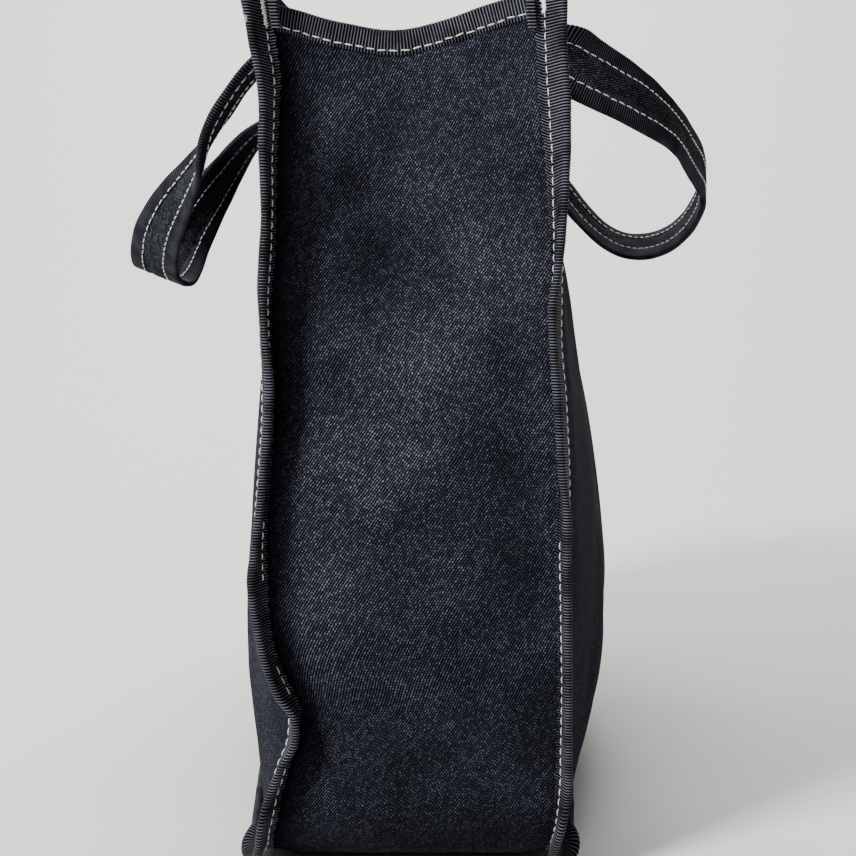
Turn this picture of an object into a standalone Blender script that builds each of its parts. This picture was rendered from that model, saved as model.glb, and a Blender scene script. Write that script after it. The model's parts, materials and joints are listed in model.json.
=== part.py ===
"""A dark denim tote bag: two panels and one gusset strip, bound seams, a bound mouth and two strap handles.

Frame: X across the bag, Y along it, Z up. The origin is the middle of the base, on the surface it stands on.
The bag's two ends are its gussets, at -Y (near) and +Y (far). Lengths are in metres.
"""

import math

import bpy
import numpy as np

# Driving dimensions of the bag's body.
LENGTH = 0.380
HEIGHT = 0.360
CORNER_RADIUS = 0.030
SEAM_LIFT = 0.0036
DENIM = 0.0012
CLEARANCE = 0.0003

# Half of the gusset's width at the base and at the mouth, and where it starts to narrow.
GUSSET_HALF_BASE = 0.0600
GUSSET_HALF_MOUTH = 0.0535
GUSSET_TAPER_FROM = 0.18

# Half of the bag's width at mid-length, as pairs of height and distance from the middle plane.
PROFILE_RIGHT = (
    (0.003, 0.0690), (0.009, 0.0692), (0.022, 0.0815), (0.045, 0.0930), (0.090, 0.0980),
    (0.160, 0.0905), (0.230, 0.0770), (0.300, 0.0580), (0.360, 0.0400),
)
PROFILE_LEFT = (
    (0.003, 0.0670), (0.009, 0.0672), (0.022, 0.0755), (0.045, 0.0825), (0.090, 0.0855),
    (0.160, 0.0800), (0.230, 0.0695), (0.300, 0.0550), (0.360, 0.0400),
)
PANEL_MOUTH_SAG = 0.010
GUSSET_MOUTH_SAG = 0.0155
GUSSET_DENT = 0.012
GUSSET_BELLY = 0.006

# Raised seams, their binding tape, and the tape round the mouth.
FLANGE = 0.010
TAPE = 0.0008
TAPE_START = 0.0026
SEAM_GAP = 0.0006
MOUTH_TAPE_DEPTH = 0.010
MOUTH_TAPE_MARGIN = 0.011
MOUTH_TAPE_SLACK = 0.0009

# The straps: a doubled denim strip with tape folded over both edges.
STRAP_WIDTH = 0.030
STRAP_CORE = 0.0014
STRAP_GAP = 0.0005
STRAP_TAPE = 0.0006
STRAP_TAPE_DEPTH = 0.009
STRAP_SPACING = 0.190
TAB_LENGTH = 0.065
HINGE_X = 0.0515
HINGE_Z = 0.355
HINGE_GAP = 0.0043

# Each loop's route from its near end to its far end: a point on the middle line, then the strap's width
# direction there. Both loops have fallen outward, and each has twisted its own way.
LOOP_RIGHT = (
    (0.0515, -0.0950, 0.3550, 0.00, -1.00, 0.00),
    (0.0605, -0.0965, 0.3535, 0.06, -0.96, 0.12),
    (0.0694, -0.0995, 0.3465, 0.36, -0.35, 0.84),
    (0.0835, -0.0960, 0.3387, 0.40, 0.15, 0.90),
    (0.1030, -0.0850, 0.3298, 0.32, 0.42, 0.85),
    (0.1230, -0.0630, 0.3200, 0.15, 0.65, 0.75),
    (0.1395, -0.0290, 0.3080, 0.04, 0.42, 0.90),
    (0.1515, 0.0050, 0.2970, 0.06, 0.45, 0.90),
    (0.1515, 0.0340, 0.2810, 0.24, 0.60, 0.75),
    (0.1420, 0.0580, 0.2685, 0.18, 0.86, 0.45),
    (0.1255, 0.0775, 0.2650, 0.16, 0.90, 0.40),
    (0.1085, 0.0900, 0.2725, 0.27, 0.90, 0.33),
    (0.0910, 0.0955, 0.2910, 0.38, 0.88, 0.27),
    (0.0705, 0.0965, 0.3275, 0.32, 0.94, 0.14),
    (0.0622, 0.0960, 0.3490, 0.12, 0.98, 0.05),
    (0.0515, 0.0950, 0.3550, 0.00, 1.00, 0.00),
)
LOOP_LEFT = (
    (-0.0515, -0.0950, 0.3550, 0.00, -1.00, 0.00),
    (-0.0610, -0.0965, 0.3510, -0.02, -1.00, 0.02),
    (-0.0735, -0.0980, 0.3405, -0.04, -1.00, 0.05),
    (-0.0831, -0.0950, 0.3295, -0.04, -1.00, 0.04),
    (-0.0935, -0.0850, 0.3145, 0.00, -1.00, 0.00),
    (-0.1010, -0.0720, 0.3025, 0.22, -0.95, -0.22),
    (-0.1135, -0.0550, 0.2880, 0.50, -0.76, -0.40),
    (-0.1295, -0.0340, 0.2670, 0.76, -0.56, -0.27),
    (-0.1350, -0.0080, 0.2505, 0.70, -0.52, -0.18),
    (-0.1335, 0.0180, 0.2495, 0.60, -0.15, -0.34),
    (-0.1255, 0.0520, 0.2740, 0.48, 0.40, -0.56),
    (-0.1125, 0.0795, 0.3020, 0.36, 0.84, -0.38),
    (-0.1060, 0.0875, 0.3135, 0.24, 0.90, -0.36),
    (-0.0960, 0.0945, 0.3270, 0.14, 0.96, -0.20),
    (-0.0700, 0.0970, 0.3460, 0.10, 0.98, -0.10),
    (-0.0515, 0.0950, 0.3550, 0.00, 1.00, 0.00),
)

LOOP_END_ZONE = 0.032
LOOP_END_STEPS = 8
LOOP_MIDDLE_STEPS = 30
TAB_STATIONS = 5
ARC_STEPS = 7
SIDE_STEPS = 9
BASE_STEPS = 12
STRIP_COLUMNS = 10

SIDES = {"right": 1.0, "left": -1.0}
ENDS = {"near": -1.0, "far": 1.0}


def ease(value):
    """Go from 0 to 1 with no slope at either end."""
    t = min(max(value, 0.0), 1.0)
    return t * t * (3.0 - 2.0 * t)


def mix(a, b, share):
    return a + (b - a) * share


def unit(vector):
    vector = np.asarray(vector, dtype=float)
    return vector / np.linalg.norm(vector)


# --- Materials and mesh helpers ---------------------------------------------------------------------------


def make_material(name, color, roughness):
    material = bpy.data.materials.new(name)
    material.use_nodes = True
    shader = material.node_tree.nodes["Principled BSDF"]
    shader.inputs["Base Color"].default_value = (*color, 1.0)
    shader.inputs["Roughness"].default_value = roughness
    shader.inputs["Metallic"].default_value = 0.0
    return material


def denim_material():
    return make_material("indigo_denim", (0.018, 0.021, 0.036), 0.90)


def tape_material():
    return make_material("navy_grosgrain", (0.024, 0.025, 0.045), 0.75)


def thread_material():
    return make_material("white_thread", (0.75, 0.75, 0.72), 0.70)


def add_object(name, vertices, faces, material):
    mesh = bpy.data.meshes.new(name)
    mesh.from_pydata([tuple(v) for v in vertices], [], faces)
    mesh.materials.append(material)
    mesh.update()
    piece = bpy.data.objects.new(name, mesh)
    parts.objects.link(piece)
    return piece


def move_origin(piece, origin):
    """Put a piece's origin at a point, and leave the piece where it is."""
    for vertex in piece.data.vertices:
        vertex.co.x -= origin[0]
        vertex.co.y -= origin[1]
        vertex.co.z -= origin[2]
    piece.location = origin


def thicken(piece, thickness):
    shell = piece.modifiers.new("cloth", "SOLIDIFY")
    shell.thickness = thickness
    shell.offset = 0.0
    shell.use_even_offset = True


def loft(name, sections, material):
    """Join closed sections of the same number of points into one capped solid."""
    count = len(sections[0])
    vertices = [point for section in sections for point in section]
    faces = [tuple(range(count))]
    for row in range(len(sections) - 1):
        start = row * count
        for i in range(count):
            j = (i + 1) % count
            faces.append((start + i, start + count + i, start + count + j, start + j))
    last = (len(sections) - 1) * count
    faces.append(tuple(range(last + count - 1, last - 1, -1)))
    return add_object(name, vertices, faces, material)


def place_section(outline, origin, across, normal):
    """Put an outline of (along across, along normal) pairs into space."""
    return [origin + across * a + normal * b for a, b in outline]


def strip_outline(half_width, half_thickness):
    return [
        (half_width, half_thickness), (half_width, -half_thickness),
        (-half_width, -half_thickness), (-half_width, half_thickness),
    ]


def fold_outline(start, end, inner, thickness):
    """Section of a tape folded over an edge: two arms from start, closed past end, round a layer of 2 x inner."""
    outer = inner + thickness
    tip = end + thickness
    return [
        (tip, outer), (tip, -outer), (start, -outer), (start, -inner),
        (end, -inner), (end, inner), (start, inner), (start, outer),
    ]


# --- Shape of the body ------------------------------------------------------------------------------------


def smooth_profile(pairs, height):
    """Read a half-width at a height, eased between hand-set pairs with a Catmull-Rom curve."""
    last = len(pairs) - 1
    i = 0
    while i < last - 1 and height > pairs[i + 1][0]:
        i += 1
    z0, x0 = pairs[i]
    z1, x1 = pairs[i + 1]
    before = pairs[max(i - 1, 0)]
    after = pairs[min(i + 2, last)]
    slope0 = (x1 - before[1]) / (z1 - before[0])
    slope1 = (after[1] - x0) / (after[0] - z0)
    span = z1 - z0
    t = min(max((height - z0) / span, 0.0), 1.0)
    return (
        (2 * t**3 - 3 * t**2 + 1) * x0 + (t**3 - 2 * t**2 + t) * span * slope0
        + (3 * t**2 - 2 * t**3) * x1 + (t**3 - t**2) * span * slope1
    )


def fullness(y):
    """0 at the gussets and 1 at mid-length."""
    return math.cos(math.pi * min(abs(y) / LENGTH, 0.5))


def gusset_half(z):
    narrowing = ease((z - GUSSET_TAPER_FROM) / (HEIGHT - GUSSET_TAPER_FROM))
    return mix(GUSSET_HALF_BASE, GUSSET_HALF_MOUTH, narrowing)


def panel_distance(side, y, z):
    """Distance of a panel from the middle plane."""
    profile = PROFILE_RIGHT if side > 0 else PROFILE_LEFT
    return mix(gusset_half(z), smooth_profile(profile, z), fullness(y))


def sagged(y, z):
    """Height of a panel's point once its mouth has sagged between the corners."""
    return z - PANEL_MOUTH_SAG * fullness(y) * (z / HEIGHT) ** 3


def panel_point(side, y, z):
    return np.array([side * panel_distance(side, y, z), y, sagged(y, z)])


def seam_stations(side):
    """Stations down the near end, round the corners and the base, and up the far end.

    Each is the seam's point, the seam's own outward direction (seen from the side) and the flange's lean.
    """
    half = LENGTH / 2
    below_tape = HEIGHT - MOUTH_TAPE_DEPTH - 0.002
    straight = np.linspace(below_tape, SEAM_LIFT + CORNER_RADIUS, SIDE_STEPS)
    path = [(-half, HEIGHT, (-1.0, 0.0), 1.0)]
    path += [(-half, z, (-1.0, 0.0), 1.0) for z in straight[:-1]]
    for i in range(ARC_STEPS + 1):
        turn = math.pi / 2 * i / ARC_STEPS
        y = -half + CORNER_RADIUS * (1 - math.cos(turn))
        z = SEAM_LIFT + CORNER_RADIUS * (1 - math.sin(turn))
        path.append((y, z, (-math.cos(turn), -math.sin(turn)), 1.0 - ease(i / ARC_STEPS)))
    for y in np.linspace(-half + CORNER_RADIUS, 0.0, BASE_STEPS // 2 + 1)[1:]:
        path.append((y, SEAM_LIFT, (0.0, -1.0), 0.0))
    mirrored = [(-y, z, (-out[0], out[1]), lean) for y, z, out, lean in path[-2::-1]]
    stations = []
    for y, z, out, lean in path + mirrored:
        point = np.array([side * panel_distance(side, y, z), y, z])
        sideways = np.array([side, 0.0, 0.0])
        outward = np.array([0.0, out[0], out[1]])
        flange = unit(sideways + outward * lean)
        toward_panel = unit(sideways * lean - outward)
        stations.append((point, outward, flange, toward_panel))
    return stations


# --- Panels and gusset strip ------------------------------------------------------------------------------


def panel(name, side, material):
    """A panel with its flange: rows of points from the base up, and the flange along its three seams."""
    stations = seam_stations(side)
    count = len(stations)
    offset = (DENIM + SEAM_GAP) / 2
    rim = [point + toward * offset for point, out, flange, toward in stations]
    columns = BASE_STEPS
    rows = SIDE_STEPS + ARC_STEPS
    base_start = rows
    vertices = []
    grid = []
    for row in range(rows + 1):
        left = rim[rows - row]
        right = rim[count - 1 - rows + row]
        line = []
        for column in range(columns + 1):
            if row == 0:
                point = rim[base_start + column]
            elif column == 0:
                point = left
            elif column == columns:
                point = right
            else:
                y = mix(left[1], right[1], column / columns)
                point = panel_point(side, y, mix(left[2], right[2], column / columns))
            line.append(len(vertices))
            vertices.append(point)
        grid.append(line)
    faces = []
    for row in range(rows):
        for column in range(columns):
            a, b = grid[row][column], grid[row][column + 1]
            c, d = grid[row + 1][column + 1], grid[row + 1][column]
            faces.append((a, b, c, d))
    seam = [grid[row][0] for row in range(rows, 0, -1)]
    seam += grid[0]
    seam += [grid[row][columns] for row in range(1, rows + 1)]
    previous = seam
    for share in (0.5, 1.0):
        ring = []
        for index, (point, out, flange, toward) in enumerate(stations):
            ring.append(len(vertices))
            vertices.append(rim[index] + flange * (FLANGE * share))
        for i in range(count - 1):
            faces.append((previous[i + 1], previous[i], ring[i], ring[i + 1]))
        previous = ring
    piece = add_object(name, vertices, faces, material)
    thicken(piece, DENIM)
    return piece


def gusset_depth(z, across, on_base):
    """How far the strip lies inside its seams: dented under the mouth, a little full below, flat on the base."""
    if on_base:
        return -(SEAM_LIFT - (DENIM + SEAM_GAP) / 2 - DENIM / 2) * ease((1 - abs(across)) / 0.25)
    arch = 1 - across**2
    dent = GUSSET_DENT * ease((z - 0.16) / (HEIGHT - 0.16))
    belly = GUSSET_BELLY * math.sin(math.pi * min(max(z / 0.24, 0.0), 1.0))
    return arch * (dent - belly)


def gusset_strip(name, material):
    """One strip down the near end, along the base and up the far end, with a flange on both long sides."""
    left = seam_stations(SIDES["left"])
    right = seam_stations(SIDES["right"])
    offset = (DENIM + SEAM_GAP) / 2
    vertices = []
    rows = []
    for (lp, lo, lf, lt), (rp, ro, rf, rt) in zip(left, right):
        line = []
        left_rim = lp - lt * offset
        right_rim = rp - rt * offset
        flatness = ease((-lo[2] - 0.5) / 0.5)
        points = [left_rim + lf * FLANGE, left_rim + lf * (FLANGE / 2)]
        for column in range(STRIP_COLUMNS + 1):
            across = 2 * column / STRIP_COLUMNS - 1
            point = mix(left_rim, right_rim, column / STRIP_COLUMNS)
            wall = gusset_depth(point[2], across, False)
            floor = gusset_depth(point[2], across, True)
            point = point - lo * mix(wall, floor, flatness)
            point[2] -= GUSSET_MOUTH_SAG * (1 - across**2) * max(lp[2] / HEIGHT - 0.55, 0.0) / 0.45
            points.append(point)
        points += [right_rim + rf * (FLANGE / 2), right_rim + rf * FLANGE]
        for point in points:
            line.append(len(vertices))
            vertices.append(point)
        rows.append(line)
    faces = []
    for upper, lower in zip(rows, rows[1:]):
        for i in range(len(upper) - 1):
            faces.append((upper[i], upper[i + 1], lower[i + 1], lower[i]))
    piece = add_object(name, vertices, faces, material)
    thicken(piece, DENIM)
    return piece


# --- Bindings ---------------------------------------------------------------------------------------------


def seam_binding(name, side, material):
    """Tape folded over the two flanges of one side seam, from mouth to mouth."""
    inner = DENIM + SEAM_GAP * 1.5
    outline = fold_outline(TAPE_START, FLANGE + CLEARANCE, inner, TAPE)
    sections = []
    for point, outward, flange, toward in seam_stations(side):
        sections.append(place_section(outline, point, flange, toward * side))
    return loft(name, sections, material)


def mouth_outline():
    inner = DENIM / 2 + MOUTH_TAPE_SLACK
    return fold_outline(-MOUTH_TAPE_DEPTH, CLEARANCE, inner, TAPE)


def panel_mouth_binding(name, side, material):
    reach = LENGTH / 2 - MOUTH_TAPE_MARGIN
    sections = []
    for y in np.linspace(-reach, reach, 13):
        edge = panel_point(side, y, HEIGHT)
        below = panel_point(side, y, HEIGHT - MOUTH_TAPE_DEPTH)
        up = unit(edge - below)
        along = unit(panel_point(side, y + 0.001, HEIGHT) - panel_point(side, y - 0.001, HEIGHT))
        sections.append(place_section(mouth_outline(), edge, up, unit(np.cross(along, up))))
    return loft(name, sections, material)


def gusset_mouth_binding(name, end, material):
    half = gusset_half(HEIGHT)
    reach = half - MOUTH_TAPE_MARGIN
    sections = []
    for x in np.linspace(-reach, reach, 9):
        across = x / half
        depth = gusset_depth(HEIGHT, across, False)
        seam_inset = (DENIM + SEAM_GAP) / 2 * math.sqrt(0.5)
        edge = np.array([x, end * (LENGTH / 2 + seam_inset - depth), HEIGHT - GUSSET_MOUTH_SAG * (1 - across**2)])
        up = np.array([0.0, 0.0, 1.0])
        slope = 2 * GUSSET_DENT * across / half
        along = unit((1.0, end * slope, 2 * GUSSET_MOUTH_SAG * across / half))
        up = unit(up - along * np.dot(up, along))
        sections.append(place_section(mouth_outline(), edge, up, unit(np.cross(along, up))))
    return loft(name, sections, material)


def bar_tack(name, side, end, material):
    """A dense bar of thread that closes a seam's tape at the mouth."""
    seam = seam_stations(side)[0 if end < 0 else -1]
    point, outward, flange, toward = seam
    face = DENIM + SEAM_GAP * 1.5 + TAPE + CLEARANCE
    centre = point + flange * (TAPE_START + 0.0020) - toward * (face + 0.0005)
    outline = strip_outline(0.0008, 0.0005)
    sections = []
    for drop in (0.001, 0.010):
        origin = centre - np.array([0.0, 0.0, drop])
        sections.append(place_section(outline, origin, flange, toward * side * end))
    return loft(name, sections, material)


# --- Straps -----------------------------------------------------------------------------------------------


def spline_stations(points):
    """Read stations from a natural cubic spline through the points, closer together near both ends."""
    table = np.array(points, dtype=float)
    steps = np.linalg.norm(np.diff(table[:, :3], axis=0), axis=1)
    knots = np.concatenate([[0.0], np.cumsum(steps)])
    size = len(table)
    matrix = np.eye(size)
    right = np.zeros_like(table)
    for i in range(1, size - 1):
        matrix[i, i - 1:i + 2] = steps[i - 1], 2 * (steps[i - 1] + steps[i]), steps[i]
        rise = (table[i + 1] - table[i]) / steps[i]
        fall = (table[i] - table[i - 1]) / steps[i - 1]
        right[i] = 6 * (rise - fall)
    bend = np.linalg.solve(matrix, right)
    total = knots[-1]
    near = np.linspace(HINGE_GAP, LOOP_END_ZONE, LOOP_END_STEPS + 1)
    middle = np.linspace(LOOP_END_ZONE, total - LOOP_END_ZONE, LOOP_MIDDLE_STEPS + 1)
    stations = []
    for value in (*near, *middle[1:-1], *(total - near[::-1])):
        i = min(max(int(np.searchsorted(knots, value)) - 1, 0), size - 2)
        step = steps[i]
        after = value - knots[i]
        before = step - after
        curve = (bend[i] * before**3 + bend[i + 1] * after**3) / (6 * step)
        curve += (table[i] / step - bend[i] * step / 6) * before
        curve += (table[i + 1] / step - bend[i + 1] * step / 6) * after
        stations.append(curve)
    return np.array(stations)


def strap_frames(centres, widths):
    """Square each width direction to the strap's own direction, and add the face's normal."""
    frames = []
    steps = np.diff(centres, axis=0)
    steps /= np.linalg.norm(steps, axis=1)[:, None]
    along = np.vstack([steps[:1], steps[:-1] + steps[1:], steps[-1:]])
    for centre, width, direction in zip(centres, widths, along):
        direction = unit(direction)
        across = unit(width - direction * np.dot(width, direction))
        frames.append((centre, across, np.cross(direction, across)))
    return frames


def loop_frames(points):
    table = spline_stations(points)
    return strap_frames(table[:, :3], table[:, 3:])


def tab_frames(side, end):
    """The sewn end of a strap, lying on the outside of its panel from the mouth down."""
    y = end * STRAP_SPACING / 2
    over_tape = HINGE_X - panel_distance(side, y, HINGE_Z)
    over_denim = DENIM / 2 + STRAP_CORE / 2 + STRAP_GAP + STRAP_TAPE + CLEARANCE * 2
    tape_foot = sagged(y, HEIGHT) - MOUTH_TAPE_DEPTH
    top = HINGE_Z - HINGE_GAP
    centres = []
    for z in np.linspace(top - TAB_LENGTH, top, TAB_STATIONS * 2):
        lift = mix(over_denim, over_tape, ease((z - tape_foot + 0.012) / 0.010))
        centres.append((side * (panel_distance(side, y, z) + lift), y, z))
    widths = [(0.0, end, 0.0)] * len(centres)
    return strap_frames(np.array(centres), np.array(widths))


def strap_core(name, frames, material):
    edge = STRAP_WIDTH / 2 - STRAP_TAPE - STRAP_GAP
    fold = STRAP_WIDTH / 2 - STRAP_TAPE - STRAP_TAPE_DEPTH
    half = STRAP_CORE / 2
    outline = [(a, half) for a in (edge, fold, -fold, -edge)]
    outline += [(a, -half) for a in (-edge, -fold, fold, edge)]
    return loft(name, [place_section(outline, *frame) for frame in frames], material)


def strap_tape(name, frames, edge, material):
    """Tape folded over one edge of a strap; edge is 1 or -1 along the width direction."""
    web = STRAP_WIDTH / 2 - STRAP_TAPE
    inner = STRAP_CORE / 2 + STRAP_GAP
    outline = fold_outline(web - STRAP_TAPE_DEPTH, web, inner, STRAP_TAPE)
    outline = [(a * edge, b * edge) for a, b in outline]
    return loft(name, [place_section(outline, *frame) for frame in frames], material)


def handle(word, side, points, denim, tape):
    """One loop on its hinge axis, and its two sewn ends on the panel."""
    pivot = (side * HINGE_X, 0.0, HINGE_Z)
    axis = bpy.data.objects.new(f"handle_{word}_axis", None)
    axis.location = pivot
    parts.objects.link(axis)
    frames = loop_frames(points)
    moving = [
        strap_core(f"handle_{word}", frames, denim),
        strap_tape(f"handle_{word}_tape_outer", frames, 1.0, tape),
        strap_tape(f"handle_{word}_tape_inner", frames, -1.0, tape),
    ]
    for piece in moving:
        move_origin(piece, pivot)
        piece.parent = axis
        piece.location = (0.0, 0.0, 0.0)
    for place, end in ENDS.items():
        ends = tab_frames(side, end)
        strap_core(f"strap_end_{word}_{place}", ends, denim)
        strap_tape(f"strap_end_{word}_{place}_tape_outer", ends, 1.0, tape)
        strap_tape(f"strap_end_{word}_{place}_tape_inner", ends, -1.0, tape)


def face_outward():
    """Turn every closed loft so that its faces point out."""
    for piece in parts.objects:
        if piece.type != "MESH" or piece.modifiers:
            continue
        signed = 0.0
        mesh = piece.data
        mesh.calc_loop_triangles()
        for triangle in mesh.loop_triangles:
            a, b, c = (mesh.vertices[i].co for i in triangle.vertices)
            signed += a.dot(b.cross(c))
        if signed < 0:
            mesh.flip_normals()


def build():
    denim = denim_material()
    tape = tape_material()
    thread = thread_material()
    gusset_strip("gusset_strip", denim)
    for word, side in SIDES.items():
        panel(f"panel_{word}", side, denim)
        seam_binding(f"seam_binding_{word}", side, tape)
        panel_mouth_binding(f"mouth_binding_{word}", side, tape)
        for place, end in ENDS.items():
            bar_tack(f"bar_tack_{place}_{word}", side, end, thread)
    for place, end in ENDS.items():
        gusset_mouth_binding(f"mouth_binding_{place}", end, tape)
    handle("right", SIDES["right"], LOOP_RIGHT, denim, tape)
    handle("left", SIDES["left"], LOOP_LEFT, denim, tape)
    face_outward()


for leftover in list(bpy.data.objects):
    bpy.data.objects.remove(leftover, do_unlink=True)
parts = bpy.data.collections.new("tote_bag")
bpy.context.scene.collection.children.link(parts)
build()
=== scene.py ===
"""The looks of a dark denim tote bag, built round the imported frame. Metres, +Z up, the near gusset at -Y."""

import json
import math

import bpy
import numpy as np
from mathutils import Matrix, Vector


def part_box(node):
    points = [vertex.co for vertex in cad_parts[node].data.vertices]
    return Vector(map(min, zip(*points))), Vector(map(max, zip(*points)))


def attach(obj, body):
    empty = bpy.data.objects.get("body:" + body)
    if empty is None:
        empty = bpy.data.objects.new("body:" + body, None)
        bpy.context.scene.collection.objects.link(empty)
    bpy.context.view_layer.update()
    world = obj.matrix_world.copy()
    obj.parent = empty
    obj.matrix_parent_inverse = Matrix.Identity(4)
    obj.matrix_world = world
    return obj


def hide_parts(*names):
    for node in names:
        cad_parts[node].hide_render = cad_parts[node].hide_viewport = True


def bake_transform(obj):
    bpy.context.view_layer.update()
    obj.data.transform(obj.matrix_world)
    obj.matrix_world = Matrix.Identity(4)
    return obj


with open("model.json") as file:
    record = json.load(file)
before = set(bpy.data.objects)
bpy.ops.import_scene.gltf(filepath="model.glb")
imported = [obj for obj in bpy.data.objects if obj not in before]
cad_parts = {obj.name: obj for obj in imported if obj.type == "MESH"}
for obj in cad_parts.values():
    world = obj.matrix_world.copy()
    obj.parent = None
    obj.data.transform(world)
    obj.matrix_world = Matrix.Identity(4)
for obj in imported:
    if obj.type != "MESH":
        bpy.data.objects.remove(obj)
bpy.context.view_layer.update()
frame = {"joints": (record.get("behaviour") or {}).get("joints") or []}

MM = 0.001

# Sizes of the bag's body, the same as the frame's solids. The base seams run SEAM_LIFT above the floor.
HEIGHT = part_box("gusset_strip")[1].z
LENGTH = 380 * MM
CORNER_RADIUS = 30 * MM
SEAM_LIFT = 3.6 * MM
DENIM = 1.1 * MM
SEAM_HALF = DENIM / 2 + 0.05 * MM
GUSSET_HALF_BASE = 60 * MM
GUSSET_HALF_MOUTH = 53.5 * MM
GUSSET_TAPER_FROM = 180 * MM
GUSSET_DENT = 12 * MM
GUSSET_BELLY = 6 * MM
PANEL_MOUTH_SAG = 10 * MM
FAR_MOUTH_DROP = 15 * MM
# The share of the height above which a gusset's sag at the mouth fades in.
SAG_FROM = 0.62
# How far into a panel a seam's wander reaches.
WANDER_REACH = 35 * MM

# Half of the bag's width at mid-length: height, distance from the middle plane.
PROFILE = {
    "right": ((0.003, 0.0715), (0.009, 0.0720), (0.022, 0.0845), (0.045, 0.0945), (0.090, 0.0980),
              (0.160, 0.0905), (0.230, 0.0770), (0.300, 0.0580), (0.360, 0.0400)),
    "left": ((0.003, 0.0700), (0.009, 0.0702), (0.022, 0.0775), (0.045, 0.0835), (0.090, 0.0855),
             (0.160, 0.0800), (0.230, 0.0695), (0.300, 0.0550), (0.360, 0.0400)),
}

# The near seams, from the base up: height in metres, then in millimetres the seam's distance from the
# middle plane and how far its raised edge leans outward (positive) or in over the gusset (negative).
NEAR_SEAM = {
    "right": (
        (0.0060, 57.0, -2.5), (0.0185, 60.5, -2.4), (0.0265, 61.6, -0.5), (0.0370, 62.2, 1.2),
        (0.0580, 62.7, 0.7), (0.0790, 63.0, 0.0), (0.1120, 62.2, 0.3), (0.1415, 61.5, 0.4),
        (0.1555, 61.7, 0.0), (0.1690, 62.0, -2.6), (0.1830, 61.4, -3.2), (0.2000, 60.4, -3.4),
        (0.2210, 58.4, -3.1), (0.2370, 58.4, -3.6), (0.2470, 58.1, -1.6), (0.2585, 58.1, 0.0),
        (0.2780, 56.9, 3.2), (0.3010, 55.0, 6.4), (0.3170, 53.0, 8.6), (0.3360, 52.0, 8.0),
        (0.3550, 50.4, 9.8),
    ),
    "left": (
        (0.0100, 61.8, 4.0), (0.0190, 60.5, 2.8), (0.0260, 58.9, 3.4), (0.0370, 56.9, 1.6),
        (0.0415, 55.4, 1.2), (0.0490, 53.4, 0.0), (0.0580, 50.2, -2.4), (0.0660, 49.2, -2.2),
        (0.0705, 48.8, -0.8), (0.0780, 51.4, 2.6), (0.0855, 55.2, 2.0), (0.0945, 58.6, 1.2),
        (0.1080, 61.2, 1.4), (0.1250, 61.9, 3.2), (0.1410, 62.3, 0.4), (0.1580, 61.2, -1.0),
        (0.1750, 59.8, -1.4), (0.1920, 58.7, -2.4), (0.2045, 58.6, -3.0), (0.2235, 59.2, -1.5),
        (0.2430, 58.9, 0.0), (0.2545, 57.7, 0.8), (0.2720, 56.9, 0.4), (0.2955, 56.2, 2.0),
        (0.3170, 54.8, 3.4), (0.3265, 54.4, 5.4), (0.3355, 55.6, 6.2), (0.3460, 57.0, 6.6),
        (0.3550, 58.0, 7.6),
    ),
}
# Drop of the near gusset's mouth below the corners: share of the half-width, drop.
NEAR_MOUTH = ((-1.0, 0.0065), (-0.75, 0.0088), (-0.45, 0.0125), (0.0, 0.0152), (0.32, 0.0112),
              (0.67, 0.0055), (1.0, 0.0010))

# Raised seams and their ribbed tape. A half is half of a folded tape's thickness.
TAPE_REACH = 11 * MM
TAPE_HALF = 1.6 * MM
TAPE_CLOTH = 0.55 * MM
MOUTH_TAPE_REACH = 1.0 * MM
MOUTH_TAPE_HALF = 1.35 * MM
MOUTH_TAPE_FRONT = 10.2 * MM
MOUTH_TAPE_BACK = 9.6 * MM
TAPE_END_LENGTH = 16 * MM
RIB_PITCH = 1.16 * MM
RIB_HEIGHT = 0.17 * MM

# Stitches. SEAM_STITCH is the row's distance from the seam toward the raised edge.
STITCH_PITCH = 4.3 * MM
STITCH_LENGTH = 3.15 * MM
STITCH_RADIUS = 0.29 * MM
SEAM_STITCH = 2.0 * MM
SEAM_STITCH_RADIUS = 0.25 * MM
MOUTH_STITCH = 7.2 * MM
BAR_TACK_LENGTH = {"right": 10 * MM, "left": 15 * MM}

# Straps.
STRAP_WIDTH = 30 * MM
STRAP_CORE_HALF = 0.8 * MM
STRAP_TAPE_HALF = 1.45 * MM
STRAP_TAPE_FRONT = 11.0 * MM
STRAP_TAPE_BACK = 9.0 * MM
STRAP_STITCH = 8.2 * MM
STRAP_SPACING = 190 * MM
TAB_LENGTH = 65 * MM
TAB_STITCH_HEIGHTS = (3 * MM, 11 * MM)
TAB_STITCH_HALF = 12.5 * MM

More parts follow.
